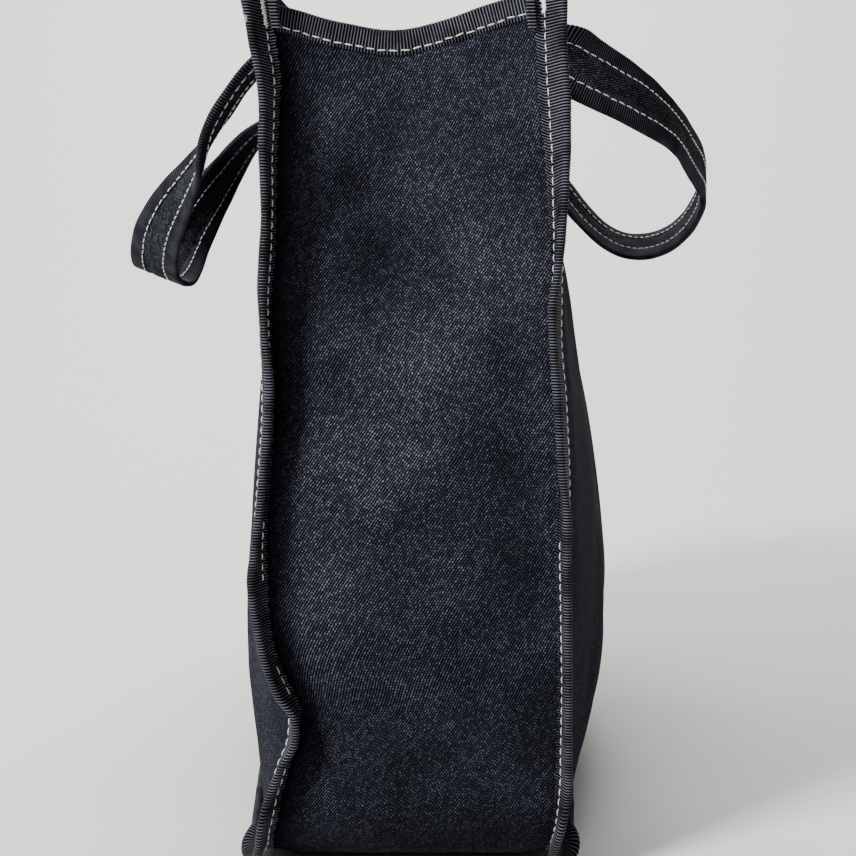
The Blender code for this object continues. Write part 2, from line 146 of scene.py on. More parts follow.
# Each loop from its near hinge to its far hinge: a point of the middle line, then the width's direction.
LOOP = {
    "right": (
        (0.0605, -0.0965, 0.3535, 0.06, -0.96, 0.12),
        (0.0694, -0.0995, 0.3465, 0.36, -0.35, 0.84),
        (0.0835, -0.0960, 0.3387, 0.40, 0.15, 0.90),
        (0.1030, -0.0850, 0.3298, 0.32, 0.42, 0.85),
        (0.1230, -0.0630, 0.3200, 0.15, 0.65, 0.75),
        (0.1395, -0.0290, 0.3080, 0.04, 0.42, 0.90),
        (0.1515, 0.0050, 0.2970, 0.06, 0.45, 0.90),
        (0.1515, 0.0340, 0.2810, 0.24, 0.60, 0.75),
        (0.1420, 0.0580, 0.2685, 0.18, 0.86, 0.45),
        (0.1255, 0.0775, 0.2650, 0.16, 0.90, 0.40),
        (0.1085, 0.0900, 0.2725, 0.27, 0.90, 0.33),
        (0.0910, 0.0955, 0.2910, 0.38, 0.88, 0.27),
        (0.0705, 0.0965, 0.3275, 0.32, 0.94, 0.14),
        (0.0622, 0.0960, 0.3490, 0.12, 0.98, 0.05),
    ),
    "left": (
        (-0.0610, -0.0965, 0.3510, -0.02, -1.00, 0.02),
        (-0.0735, -0.0980, 0.3405, -0.04, -1.00, 0.05),
        (-0.0831, -0.0950, 0.3295, -0.04, -1.00, 0.04),
        (-0.0935, -0.0850, 0.3145, 0.00, -1.00, 0.00),
        (-0.1010, -0.0720, 0.3025, 0.22, -0.95, -0.22),
        (-0.1135, -0.0550, 0.2880, 0.50, -0.76, -0.40),
        (-0.1295, -0.0340, 0.2670, 0.76, -0.56, -0.27),
        (-0.1350, -0.0080, 0.2505, 0.70, -0.52, -0.18),
        (-0.1335, 0.0180, 0.2495, 0.60, -0.15, -0.34),
        (-0.1255, 0.0520, 0.2740, 0.48, 0.40, -0.56),
        (-0.1125, 0.0795, 0.3020, 0.36, 0.84, -0.38),
        (-0.1060, 0.0875, 0.3135, 0.24, 0.90, -0.36),
        (-0.0960, 0.0945, 0.3270, 0.14, 0.96, -0.20),
        (-0.0700, 0.0970, 0.3460, 0.10, 0.98, -0.10),
    ),
}

SIDE = {"right": 1.0, "left": -1.0}
END = {"near": -1.0, "far": 1.0}
random = np.random.default_rng(7)


# --- Numbers ---


def ease(value):
    t = np.clip(value, 0.0, 1.0)
    return t * t * (3.0 - 2.0 * t)


def mix(a, b, share):
    return a + (b - a) * share


def unit(vectors):
    vectors = np.asarray(vectors, dtype=float)
    return vectors / np.maximum(np.linalg.norm(vectors, axis=-1, keepdims=True), 1e-12)


def paired(a, b):
    """Rows of two numbers, from two arrays that broadcast together."""
    return np.stack(np.broadcast_arrays(a, b), axis=-1)


def laid(across, normal, pairs):
    """For each station, vectors from pairs of numbers: how far along across, and how far along normal."""
    return across[:, None, :] * pairs[..., :1] + normal[:, None, :] * pairs[..., 1:]


def circle(sides):
    """Angles round a circle, and a pair of numbers for each: its cosine and its sine."""
    angle = np.arange(sides) * 2 * math.pi / sides
    return angle, np.stack([np.cos(angle), np.sin(angle)], axis=-1)


def curve_through(points, values):
    """Read a Catmull-Rom curve through (key, number...) points at each value; it is level past both ends."""
    table = np.array(points, dtype=float)
    keys = table[:, 0]
    rows = table[:, 1:]
    slopes = np.gradient(rows, keys, axis=0)
    values = np.clip(np.asarray(values, dtype=float), keys[0], keys[-1])
    i = np.clip(np.searchsorted(keys, values, side="right") - 1, 0, len(keys) - 2)
    span = keys[i + 1] - keys[i]
    t = ((values - keys[i]) / span)[..., None]
    span = span[..., None]
    out = (2 * t**3 - 3 * t**2 + 1) * rows[i] + (t**3 - 2 * t**2 + t) * span * slopes[i]
    out += (3 * t**2 - 2 * t**3) * rows[i + 1] + (t**3 - t**2) * span * slopes[i + 1]
    return out[..., 0] if out.shape[-1] == 1 else out


def spline(points, count):
    """Even stations on a natural cubic spline through rows whose first three numbers are a place."""
    table = np.array(points, dtype=float)
    steps = np.linalg.norm(np.diff(table[:, :3], axis=0), axis=1)
    knots = np.concatenate([[0.0], np.cumsum(steps)])
    size = len(table)
    matrix = np.eye(size)
    right = np.zeros_like(table)
    for i in range(1, size - 1):
        matrix[i, i - 1:i + 2] = steps[i - 1], 2 * (steps[i - 1] + steps[i]), steps[i]
        right[i] = 6 * ((table[i + 1] - table[i]) / steps[i] - (table[i] - table[i - 1]) / steps[i - 1])
    bend = np.linalg.solve(matrix, right)
    value = np.linspace(0.0, knots[-1], count)
    i = np.clip(np.searchsorted(knots, value, side="right") - 1, 0, size - 2)
    step = steps[i][:, None]
    after = (value - knots[i])[:, None]
    before = step - after
    out = (bend[i] * before**3 + bend[i + 1] * after**3) / (6 * step)
    out += (table[i] / step - bend[i] * step / 6) * before
    out += (table[i + 1] / step - bend[i + 1] * step / 6) * after
    return out


def even_spacing(table, step):
    """Resample rows at an even distance, measured between the rows' first three numbers."""
    length = np.linalg.norm(np.diff(table[:, :3], axis=0), axis=1)
    along = np.concatenate([[0.0], np.cumsum(length)])
    count = max(int(round(along[-1] / step)), 2)
    target = np.linspace(0.0, along[-1], count + 1)
    return np.column_stack([np.interp(target, along, table[:, i]) for i in range(table.shape[1])]), target


def ripple(value, seed, period):
    """A smooth wobble from -1 to 1 with no fixed beat."""
    a = np.sin(2 * np.pi * value / period + seed * 1.7)
    b = np.sin(2 * np.pi * value / (period * 0.618) + seed * 2.9)
    c = np.sin(2 * np.pi * value / (period * 1.83) + seed * 0.6)
    return (a + 0.7 * b + 0.8 * c) / 2.5


def creases(a, b, rows):
    """The sum of soft ridges on a sheet. A row is a ridge's centre, its angle, its length, its width and its
    height, which is negative in a valley. All but the angle and the height are in millimetres."""
    total = 0.0
    for centre_a, centre_b, angle, length, width, height in rows:
        turn = math.radians(angle)
        from_a = a - centre_a * MM
        from_b = b - centre_b * MM
        along = from_a * math.cos(turn) + from_b * math.sin(turn)
        across = from_b * math.cos(turn) - from_a * math.sin(turn)
        total = total + height * np.exp(-(along / (length * MM)) ** 2 - (across / (width * MM)) ** 2)
    return total


# --- Meshes ---


def build_mesh(name, points, faces, uv=None, attributes=None, materials=()):
    """A smooth mesh from arrays. uv and attributes hold one row for each point."""
    mesh = bpy.data.meshes.new(name)
    points = np.asarray(points, dtype=np.float32).reshape(-1, 3)
    faces = np.asarray(faces, dtype=np.int32)
    mesh.vertices.add(len(points))
    mesh.vertices.foreach_set("co", points.ravel())
    mesh.loops.add(faces.size)
    mesh.loops.foreach_set("vertex_index", faces.ravel())
    mesh.polygons.add(len(faces))
    mesh.polygons.foreach_set("loop_start", np.arange(0, faces.size, faces.shape[1], dtype=np.int32))
    mesh.update(calc_edges=True)
    mesh.polygons.foreach_set("use_smooth", np.ones(len(faces), dtype=bool))
    if uv is not None:
        layer = mesh.uv_layers.new(name="metres")
        uv = np.asarray(uv, dtype=np.float32).reshape(-1, 2)
        layer.data.foreach_set("uv", uv[faces.ravel()].ravel())
    for key, values in (attributes or {}).items():
        attribute = mesh.attributes.new(key, "FLOAT", "POINT")
        attribute.data.foreach_set("value", np.asarray(values, dtype=np.float32).ravel())
    for material in materials:
        mesh.materials.append(material)
    mesh.update()
    piece = bpy.data.objects.new(name, mesh)
    bpy.context.scene.collection.objects.link(piece)
    return piece


def grid_faces(rows, columns, closed=False, start=0):
    """Quads between neighbouring rows of a grid of points; closed joins the last column to the first."""
    i = np.arange(rows - 1)[:, None]
    j = np.arange(columns if closed else columns - 1)[None, :]
    k = (j + 1) % columns
    a = start + i * columns + j
    b = start + i * columns + k
    c = start + (i + 1) * columns + k
    d = start + (i + 1) * columns + j
    return np.stack([a, b, c, d], axis=-1).reshape(-1, 4)


def apply_modifiers(piece):
    bpy.context.view_layer.update()
    evaluated = piece.evaluated_get(bpy.context.evaluated_depsgraph_get())
    mesh = bpy.data.meshes.new_from_object(evaluated)
    piece.modifiers.clear()
    old = piece.data
    piece.data = mesh
    bpy.data.meshes.remove(old)
    mesh.name = piece.name


def thicken(piece, thickness):
    """Give an open sheet two faces. The inner face takes the sheet's second material."""
    shell = piece.modifiers.new("cloth", "SOLIDIFY")
    shell.thickness = thickness
    shell.offset = 0.0
    shell.use_even_offset = False
    shell.material_offset = 1
    shell.material_offset_rim = 0
    apply_modifiers(piece)


def capped_tube_faces(rows, columns):
    """Faces of a closed tube whose section is an outline and, in reverse order, the same outline set in."""
    half = columns // 2
    k = np.arange(half - 1)
    cap = np.stack([k, k + 1, columns - 2 - k, columns - 1 - k], axis=-1)
    return np.vstack([grid_faces(rows, columns, closed=True), cap[:, ::-1], cap + (rows - 1) * columns])


def threads(name, runs, face, material):
    """Round threads in one piece. Each run is a path and a radius, and lies roughly square to face."""
    points = []
    faces = []
    uv = []
    count = 0
    sides = 8
    angle, section = circle(sides)
    for path, radius in runs:
        path, along = even_spacing(np.asarray(path, dtype=float), radius * 0.8)
        direction = unit(np.gradient(path, axis=0))
        cross = unit(np.cross(direction, np.asarray(face, dtype=float)))
        out = np.cross(cross, direction)
        ring = laid(cross, out, section * radius)
        points.append((path[:, None, :] + ring).reshape(-1, 3))
        uv.append(paired((angle * radius)[None, :], along[:, None]).reshape(-1, 2))
        faces.append(capped_tube_faces(len(path), sides) + count)
        count += len(path) * sides
    return build_mesh(name, np.vstack(points), np.vstack(faces), np.vstack(uv), materials=[material])


# --- Materials ---


class Nodes:
    """A short way to write a material's nodes."""

    def __init__(self, name):
        self.material = bpy.data.materials.new(name)
        self.material.use_nodes = True
        self.tree = self.material.node_tree
        self.shader = self.tree.nodes["Principled BSDF"]

    def add(self, kind, settings=(), **inputs):
        node = self.tree.nodes.new(kind)
        for key, value in dict(settings).items():
            setattr(node, key, value)
        for key, value in inputs.items():
            self.put(node.inputs[int(key[1:]) if key[1:].isdigit() else key.replace("_", " ")], value)
        return node

    def put(self, socket, value):
        if isinstance(value, bpy.types.NodeSocket):
            self.tree.links.new(value, socket)
        else:
            socket.default_value = value

    def math(self, operation, a, b=0.0, c=0.0, clamp=False):
        node = self.add("ShaderNodeMath", {"operation": operation, "use_clamp": clamp}, i0=a, i1=b, i2=c)
        return node.outputs[0]

    def color(self, a, b, share):
        node = self.add("ShaderNodeMix", {"data_type": "RGBA"})
        self.put(node.inputs["Factor"], share)
        self.put(node.inputs["A"], a)
        self.put(node.inputs["B"], b)
        return node.outputs["Result"]

    def combine(self, x, y, z=0.0):
        return self.add("ShaderNodeCombineXYZ", X=x, Y=y, Z=z).outputs[0]

    def noise(self, vector, scale, detail=2.0):
        return self.add("ShaderNodeTexNoise", Vector=vector, Scale=scale, Detail=detail).outputs["Fac"]

    def chance(self, x, y):
        """A fixed random number for each pair of whole numbers."""
        node = self.add("ShaderNodeTexWhiteNoise", {"noise_dimensions": "2D"}, Vector=self.combine(x, y))
        return node.outputs["Value"]

    def uv(self):
        flat = self.add("ShaderNodeUVMap", {"uv_map": "metres"}).outputs[0]
        split = self.add("ShaderNodeSeparateXYZ", Vector=flat)
        return split.outputs[0], split.outputs[1]

    def surface(self, **values):
        """Set the shader's own values. An underscore stands for a space."""
        for key, value in values.items():
            self.shader.inputs[key.replace("_", " ")].default_value = value

    def bump(self, height, distance, strength=1.0):
        node = self.add("ShaderNodeBump", Height=height, Distance=distance, Strength=strength)
        self.put(self.shader.inputs["Normal"], node.outputs[0])


TWILL_PITCH = 1.06 * MM
TWILL_ANGLE = math.radians(57)
FLECK_PITCH = 1.36 * MM


def denim_material(name, ground, bright, lift):
    """A steep twill: dark warp, with pale flecks of weft in a lattice along the twill's lines."""
    n = Nodes(name)
    u, v = n.uv()
    place = n.combine(u, v)
    sway = n.math("MULTIPLY", n.math("SUBTRACT", n.noise(place, 45.0), 0.5), 1.6 * MM)
    fuzz = n.math("MULTIPLY_ADD", n.math("SUBTRACT", n.noise(place, 700.0), 0.5), 0.45 * MM, sway)
    across = n.math("MULTIPLY_ADD", v, -math.cos(TWILL_ANGLE), fuzz)
    across = n.math("MULTIPLY_ADD", u, math.sin(TWILL_ANGLE), across)
    along = n.math("MULTIPLY_ADD", u, math.cos(TWILL_ANGLE), n.math("MULTIPLY", v, math.sin(TWILL_ANGLE)))
    line = n.math("DIVIDE", across, TWILL_PITCH)
    row = n.math("FLOOR", line)
    ridge = n.math("SINE", n.math("MULTIPLY", n.math("FRACT", line), math.pi))
    ridge = n.math("POWER", ridge, 3.0)
    step = n.math("ADD", n.chance(row, 0.5), n.math("DIVIDE", along, FLECK_PITCH))
    step = n.math("MULTIPLY_ADD", row, 0.41, step)
    dash = n.math("SINE", n.math("MULTIPLY", n.math("FRACT", step), math.pi))
    chance = n.math("POWER", n.chance(row, n.math("FLOOR", step)), 2.0)
    fleck = n.math("MULTIPLY", n.math("MULTIPLY_ADD", chance, 0.74, 0.25), n.math("POWER", dash, 0.8))
    yarn = n.noise(place, 1400.0, 1.0)
    patches_and_shading = n.math("MULTIPLY_ADD", n.noise(place, 22.0, 4.0), 1.5, 0.05)
    # The wear patches times the mesh's painted light and shade, which dims or brightens the pale flecks.
    patches_and_shading = n.math("MULTIPLY", patches_and_shading, n.add("ShaderNodeAttribute", {"attribute_name": "wear"}).outputs["Fac"])
    streak = n.math("MULTIPLY_ADD", yarn, 2.2, -0.1)
    thread = n.math("MULTIPLY", n.math("MULTIPLY", ridge, n.math("ADD", fleck, 0.05)), streak)
    share = n.math("MULTIPLY", n.math("MULTIPLY", thread, patches_and_shading), lift, clamp=True)
    n.put(n.shader.inputs["Base Color"], n.color((*ground, 1.0), (*bright, 1.0), share))
    n.surface(Roughness=0.9, Specular_IOR_Level=0.03)
    n.surface(Sheen_Weight=0.005, Sheen_Roughness=0.5, Sheen_Tint=(0.55, 0.60, 0.85, 1.0))
    n.bump(n.math("ADD", n.math("MULTIPLY", ridge, 0.6), fleck), 0.15 * MM, 0.6)
    return n.material


def tape_material(name, bright):
    """Ribbed tape with painted light: each rib's crest takes a dull violet-grey painted highlight, and the gap
    beside it is painted nearly black as shade.
    """
    n = Nodes(name)
    u, v = n.uv()
    crest = n.add("ShaderNodeAttribute", {"attribute_name": "crest"}).outputs["Fac"]
    threads = n.noise(n.combine(u, n.math("MULTIPLY", v, 0.25)), 4200.0, 1.0)
    # Patches where the ribs' painted highlight shows.
    patches_and_shading = n.math("MULTIPLY_ADD", n.noise(n.combine(u, v), 75.0, 3.0), 3.0, -0.7, clamp=True)
    # Painted highlight on the rib crests; the gaps keep the near-black painted shade.
    painted_rib_light = n.math("MULTIPLY", n.math("POWER", crest, 8.0), n.math("MULTIPLY_ADD", threads, 1.2, 0.4))
    painted_rib_light = n.math("MULTIPLY", painted_rib_light, patches_and_shading, clamp=True)
    n.put(n.shader.inputs["Base Color"], n.color((0.0003, 0.0003, 0.0008, 1.0), (*bright, 1.0), painted_rib_light))
    n.surface(Roughness=0.7, Specular_IOR_Level=0.06)
    n.surface(Sheen_Weight=0.006, Sheen_Roughness=0.4, Sheen_Tint=(0.60, 0.62, 0.85, 1.0))
    n.bump(threads, 0.06 * MM, 0.6)
    return n.material


def thread_material(name, color):
    """Twisted sewing thread."""
    n = Nodes(name)
    u, v = n.uv()
    slant = n.math("MULTIPLY_ADD", u, 0.5, v)
    twist = n.math("SINE", n.math("MULTIPLY", slant, 2 * math.pi / (0.45 * MM)))
    tint = n.math("MULTIPLY_ADD", twist, 0.12, 0.85)
    n.put(n.shader.inputs["Base Color"], n.color((0.25, 0.25, 0.27, 1.0), (*color, 1.0), tint))
    n.surface(Roughness=0.55, Sheen_Weight=0.2)
    n.bump(twist, 0.05 * MM, 0.5)
    return n.material


# --- The seams' paths ---


def fullness(y):
    """0 at the gussets and 1 at mid-length."""
    return np.cos(np.pi * np.minimum(np.abs(y) / LENGTH, 0.5))


def gusset_half(z):
    taper = ease((z - GUSSET_TAPER_FROM) / (HEIGHT - GUSSET_TAPER_FROM))
    return mix(GUSSET_HALF_BASE, GUSSET_HALF_MOUTH, taper)


def near_shift(word, z):
    """How far the near seam really lies from its plain place at a height."""
    place = curve_through([row[:2] for row in NEAR_SEAM[word]], z) * MM
    return (place - gusset_half(z)) * ease(z / (8 * MM))


def panel_distance(word, y, z):
    """Distance of a panel from the middle plane, with the near seam's wander fading into the panel."""
    full = fullness(y)
    plain = mix(gusset_half(z), curve_through(PROFILE[word], z), full)
    wander = near_shift(word, z) * np.exp(-(y + LENGTH / 2) / WANDER_REACH)
    far = 1.2 * MM * ripple(z, 3.0 + SIDE[word], 0.16) * np.exp((y - LENGTH / 2) / WANDER_REACH)
    return plain + wander + far * ease(z / (40 * MM))


def sagged(y, z):
    return z - PANEL_MOUTH_SAG * fullness(y) * (z / HEIGHT) ** 3


STRAIGHT = HEIGHT - SEAM_LIFT - CORNER_RADIUS
ARC = math.pi / 2 * CORNER_RADIUS
BASE_RUN = LENGTH - 2 * CORNER_RADIUS
SEAM_LENGTH = 2 * STRAIGHT + 2 * ARC + BASE_RUN


def seam_plan(s):
    """Place and outward direction, seen from the side, at a distance s down the seam from the near mouth."""
    s = np.asarray(s, dtype=float)
    t = np.minimum(s, SEAM_LENGTH - s)
    turn = np.clip((t - STRAIGHT) / CORNER_RADIUS, 0.0, math.pi / 2)
    run = np.maximum(t - STRAIGHT - ARC, 0.0)
    y = -LENGTH / 2 + CORNER_RADIUS * (1 - np.cos(turn)) + run
    z = np.where(t < STRAIGHT, HEIGHT - t, SEAM_LIFT + CORNER_RADIUS * (1 - np.sin(turn)))
    mirror = np.where(s > SEAM_LENGTH / 2, -1.0, 1.0)
    outward = np.stack([np.zeros_like(s), -np.cos(turn) * mirror, -np.sin(turn)], axis=-1)
    return y * mirror, z, outward, turn / (math.pi / 2)


BASE_TUCK = math.radians(-50)


def seam_frames(word, s):
    """Seam points, the raised edge's direction, and the direction from the gusset's side to the panel's."""
    side = SIDE[word]
    y, z, outward, corner = seam_plan(s)
    x = panel_distance(word, y, z)
    near = s < SEAM_LENGTH / 2
    near_lean = curve_through([(row[0], row[2]) for row in NEAR_SEAM[word]], z) * MM
    far_lean = (6.6 + 2.6 * ripple(z, 1.0 + side, 0.21)) * MM
    lean = np.where(near, near_lean, far_lean) / TAPE_REACH
    angle = mix(np.arccos(np.clip(lean, -0.93, 0.93)), BASE_TUCK, ease((corner - 0.45) / 0.5))
    sideways = np.array([side, 0.0, 0.0])
    edge = sideways * np.cos(angle)[:, None] + outward * np.sin(angle)[:, None]
    toward_panel = sideways * np.sin(angle)[:, None] - outward * np.cos(angle)[:, None]
    point = np.stack([side * x, y, z], axis=-1)
    return point, edge, toward_panel, outward


# --- Denim ---


# Folds of a gusset, outward: centre across and up, angle, length, width, height, in millimetres and degrees.
GUSSET_FOLDS = (
    (-46, 250, 88, 90, 9, 2.6), (-47, 90, 84, 60, 8, 2.4), (20, 290, 120, 50, 16, -1.7),
    (-12, 300, 75, 40, 14, 1.8), (44, 200, 92, 70, 10, 1.8), (10, 185, 60, 50, 20, -1.6),
    (-22, 130, 100, 50, 18, -1.4), (30, 100, 70, 60, 14, 1.2), (5, 45, 10, 45, 14, 1.4),
)
# Painted light and shade on a gusset, paler patches where light falls and darker ones in shade: the same, with
# the change of brightness last.
GUSSET_PAINTED_LIGHT_AND_SHADE = (
    (8, 215, 62, 60, 24, 0.50), (-34, 325, 30, 22, 12, 0.15), (-22, 135, 75, 40, 14, 0.20),
    (-30, 292, 70, 22, 10, -0.50), (-9, 312, 80, 16, 6, -0.40), (-16, 262, 60, 26, 10, -0.45),
    (-42, 245, 85, 40, 10, -0.35), (-5, 150, 20, 18, 10, -0.35), (48, 130, 80, 30, 8, -0.40),
)


def gusset_offset(across, z, near):
    """How far the gusset lies inside its seams, with its folds. across runs from -1 at the left to 1."""
    arch = 1 - across**2
    dent = GUSSET_DENT * ease((z - 160 * MM) / (HEIGHT - 160 * MM))
    belly = GUSSET_BELLY * np.sin(np.pi * np.clip(z / (240 * MM), 0, 1))
    x = across * GUSSET_HALF_BASE
    folds = creases(x, z, GUSSET_FOLDS) * MM
    folds += 0.5 * MM * ripple(x * 0.6 + z, 2.0, 0.045) * ripple(x - z * 0.4, 5.0, 0.060)
    folds = np.where(near, folds, 0.8 * folds[..., ::-1])
    return arch * (dent - belly) + 1.3 * folds * ease((1 - np.abs(across)) / 0.18)


def gusset_painted_shading(across, z):
    """Painted light and shade on a gusset's denim, which scale its pale flecks: 1 is ordinary, and 0 is
    painted as dark as new denim.
    """
    # Painted shade: darker towards the bottom, where the gusset curves in away from the light.
    wear = mix(0.60, 0.95, ease((z - 15 * MM) / (120 * MM)))
    # Painted light and shade in patches.
    wear = wear + creases(across * GUSSET_HALF_BASE, z, GUSSET_PAINTED_LIGHT_AND_SHADE)
    # Painted shadow of the left seam's raised flange: a dark band about 15 mm wide beside it.
    from_left_seam = (across + 1) * 58 * MM
    past_flange_shadow = ease((from_left_seam - 1 * MM) / (15 * MM))
    return np.maximum(wear, 0.05) * mix(0.04, 1.0, past_flange_shadow)


def mouth_drop(across, z, near):
    """How far a gusset hangs below its seams' ends at a height, toward and at the mouth."""
    drop = np.where(near, curve_through(NEAR_MOUTH, across), FAR_MOUTH_DROP * (1 - across**2))
    return drop * np.clip(z / HEIGHT - SAG_FROM, 0, 1) / (1 - SAG_FROM)


def gusset_strip(materials):
    """One strip down the near end, along the base and up the far end."""
    rows = 430
    columns = 61
    s = np.linspace(0.0, SEAM_LENGTH, rows)
    left, left_edge, left_panel, outward = seam_frames("left", s)
    right, right_edge, right_panel, _ = seam_frames("right", s)
    left = left - left_panel * SEAM_HALF
    right = right - right_panel * SEAM_HALF
    across = np.sin(np.linspace(-1, 1, columns) * math.pi / 2)[None, :]
    share = (across[..., None] + 1) / 2
    points = left[:, None, :] * (1 - share) + right[:, None, :] * share
    z = points[..., 2]
    near = (s < SEAM_LENGTH / 2)[:, None]
    wall = gusset_offset(across, z, near)
    pucker = 0.35 * MM * np.sin(2 * np.pi * s / (9.7 * MM))[:, None] * np.exp(-((1 - np.abs(across)) / 0.10))
    wall = wall + pucker * ease((1 - np.abs(across)) / 0.04)
    floor = -(SEAM_LIFT - DENIM) * ease((1 - np.abs(across)) / 0.25) * np.ones_like(z)
    flatness = ease((-outward[:, 2] - 0.5) / 0.5)[:, None]
    points = points - outward[:, None, :] * mix(wall, floor, flatness)[..., None]
    points[..., 2] -= mouth_drop(across, z, near)
    # Painted light and shade, handed to the denim's shader as a point attribute.
    wear = gusset_painted_shading(across, z)
    wear = np.concatenate([wear[:, :1]] * 4 + [wear] + [wear[:, -1:]] * 4, axis=1)
    tuck = np.linspace(6 * MM, 1 * MM, 4)[None, :, None]
    left_hem = left[:, None, :] + left_edge[:, None, :] * tuck
    right_hem = right[:, None, :] + right_edge[:, None, :] * tuck[:, ::-1]
    points = np.concatenate([left_hem, points, right_hem], axis=1)
    columns = points.shape[1]
    widths = np.linalg.norm(np.diff(points, axis=1), axis=2).mean(axis=0)
    u = np.concatenate([[0.0], np.cumsum(widths)])
    uv = paired((u - u.mean())[None, :], (HEIGHT - s)[:, None])
    faces = grid_faces(rows, columns)[:, ::-1]
    piece = build_mesh("denim_gusset_strip", points, faces, uv, {"wear": wear}, materials)
    thicken(piece, DENIM)
    return piece


# Folds of a panel, as for a gusset: drag lines from the straps and the base corners, and soft buckles.
STRAP_AT = STRAP_SPACING / 2 / MM
PANEL_FOLDS = (
    (-STRAP_AT - 12, 250, 100, 60, 11, 1.8), (STRAP_AT + 14, 245, 78, 60, 12, 1.6),
    (0, 290, 0, 90, 22, -2.2), (-120, 60, 35, 50, 10, 2.2), (-95, 105, 50, 50, 13, -1.8),
    (125, 65, 142, 50, 11, 2.0), (80, 120, 128, 60, 14, -1.8), (-20, 160, 95, 70, 16, 1.8),
    (45, 190, 84, 60, 14, -1.5), (-165, 180, 88, 90, 7, -1.8), (168, 190, 92, 90, 7, -1.8),
    (10, 28, 2, 110, 9, 1.8),
)
# Painted shade on each panel's pale flecks: the right panel, turned away from the key light, is painted the
# darker.
PANEL_PAINTED_SHADE = {"right": 0.52, "left": 0.70}


def panel_folds(word, y, z):
    buckles = ripple(y + z * 0.5, 4.0 + SIDE[word], 0.07) * ripple(z - y * 0.3, 1.0 + SIDE[word], 0.09)
    return (creases(y, z, PANEL_FOLDS) + 0.7 * buckles) * MM


def panel(word, materials):
    """One main panel: a grid over the rounded outline, and a hem that tucks into the bound seam."""
    side = SIDE[word]
    side_rows = 120
    arc_rows = 14
    columns = 150
    down = np.linspace(0.0, STRAIGHT, side_rows + 1)[:-1]
    round_corner = STRAIGHT + np.linspace(0.0, ARC, arc_rows + 1)
    left_s = np.concatenate([down, round_corner])[::-1]
    rows = len(left_s)
    base_s = np.linspace(STRAIGHT + ARC, STRAIGHT + ARC + BASE_RUN, columns + 1)

    def rim(s):
        point, edge, toward_panel, _ = seam_frames(word, s)
        return point + toward_panel * SEAM_HALF, edge

    near_rim, _ = rim(left_s)
    far_rim, _ = rim(SEAM_LENGTH - left_s)
    base_rim, _ = rim(base_s)
    share = np.linspace(0.0, 1.0, columns + 1)[None, :]
    y = near_rim[:, 1:2] * (1 - share) + far_rim[:, 1:2] * share
    z = near_rim[:, 2:3] * (1 - share) + far_rim[:, 2:3] * share
    inside = ease(np.minimum(share, 1 - share) / 0.06) * ease((z - SEAM_LIFT) / (14 * MM))
    x = panel_distance(word, y, z) + panel_folds(word, y, z) * inside
    pucker = 0.35 * MM * np.sin(2 * np.pi * z / (10.3 * MM)) * np.exp(-np.minimum(share, 1 - share) / 0.018)
    x = x + pucker * ease(np.minimum(share, 1 - share) / 0.008)
    grid = np.stack([side * x, y, sagged(y, z)], axis=-1)
    grid[0] = base_rim
    grid[:, 0] = near_rim
    grid[:, -1] = far_rim
    uv = np.stack([-side * y, z], axis=-1).reshape(-1, 2)
    seam_s = np.concatenate([left_s[:0:-1], base_s, SEAM_LENGTH - left_s[1:]])
    hem_point, hem_edge = rim(seam_s)
    columns += 1
    index = np.arange(rows * columns).reshape(rows, columns)
    border = np.concatenate([index[:0:-1, 0], index[0], index[1:, -1]])
    points = [grid.reshape(-1, 3)]
    coordinates = [uv]
    faces = [grid_faces(rows, columns)]
    start = rows * columns
    previous = border
    for reach in (1.5 * MM, 3.5 * MM, 6 * MM):
        ring = start + np.arange(len(seam_s))
        points.append(hem_point + hem_edge * reach)
        coordinates.append(uv[border])
        faces.append(np.stack([previous[1:], previous[:-1], ring[:-1], ring[1:]], axis=-1))
        previous = ring
        start += len(seam_s)
    faces = np.vstack(faces)
    if side < 0:
        faces = faces[:, ::-1]
    points = np.vstack(points)
    piece = build_mesh(f"denim_panel_{word}", points, faces, np.vstack(coordinates),
                       {"wear": np.full(len(points), PANEL_PAINTED_SHADE[word])}, materials)
    thicken(piece, DENIM)
    return piece


# --- Ribbed tape ---


RIB_ROWS = 4
RIB_SHAPE = np.array([-1.0, 0.45, 1.0, 0.45])
ARM_POINTS = 5
TURN_POINTS = 5


def folded_outline(reach, half, front, back):
    """Outline of a tape folded over an edge: (across, normal) pairs and their outward directions.

    The fold's crest is at across = reach, and its front arm is on the +normal side.
    """
    turn = np.radians(np.linspace(90, -90, TURN_POINTS + 2)[1:-1])
    front_arm = [(x, half) for x in np.linspace(reach - front, reach - half, ARM_POINTS)]
    back_arm = [(x, -half) for x in np.linspace(reach - half, reach - back, ARM_POINTS)]
    crest = [(reach - half + half * math.cos(t), half * math.sin(t)) for t in turn]
    outward = [(0.0, 1.0)] * ARM_POINTS + [(math.cos(t), math.sin(t)) for t in turn]
    outward += [(0.0, -1.0)] * ARM_POINTS
    return np.array(front_arm + crest + back_arm), np.array(outward)


def ribbed_tape(name, outline, outward, direction, along, lean, material):
    """Tape with every rib in its surface.

    outline and outward hold a row of points for each station, direction is the way along the tape, and lean
    says how far each point's rib runs ahead of the station.
    """
    rows, columns = outline.shape[:2]
    rib = RIB_SHAPE[np.arange(rows) % RIB_ROWS][:, None]
    place = np.linalg.norm(np.diff(outline, axis=1), axis=2).mean(axis=0)
    place = np.concatenate([[0.0], np.cumsum(place)])
    outer = outline + outward * (rib * RIB_HEIGHT)[..., None] + direction[:, None, :] * lean[..., None]
    inner = (outline - outward * TAPE_CLOTH)[:, ::-1]
    points = np.concatenate([outer, inner], axis=1)
    uv = paired(np.concatenate([place, place[::-1]])[None, :], along[:, None])
    # The crest attribute places the painted rib light: 1 on a crest's highlight, 0 in a shaded gap.
    crest = np.zeros((rows, 2 * columns))
    crest[:, :columns] = (rib + 1) / 2
    return build_mesh(name, points, capped_tube_faces(rows, 2 * columns), uv, {"crest": crest}, [material])


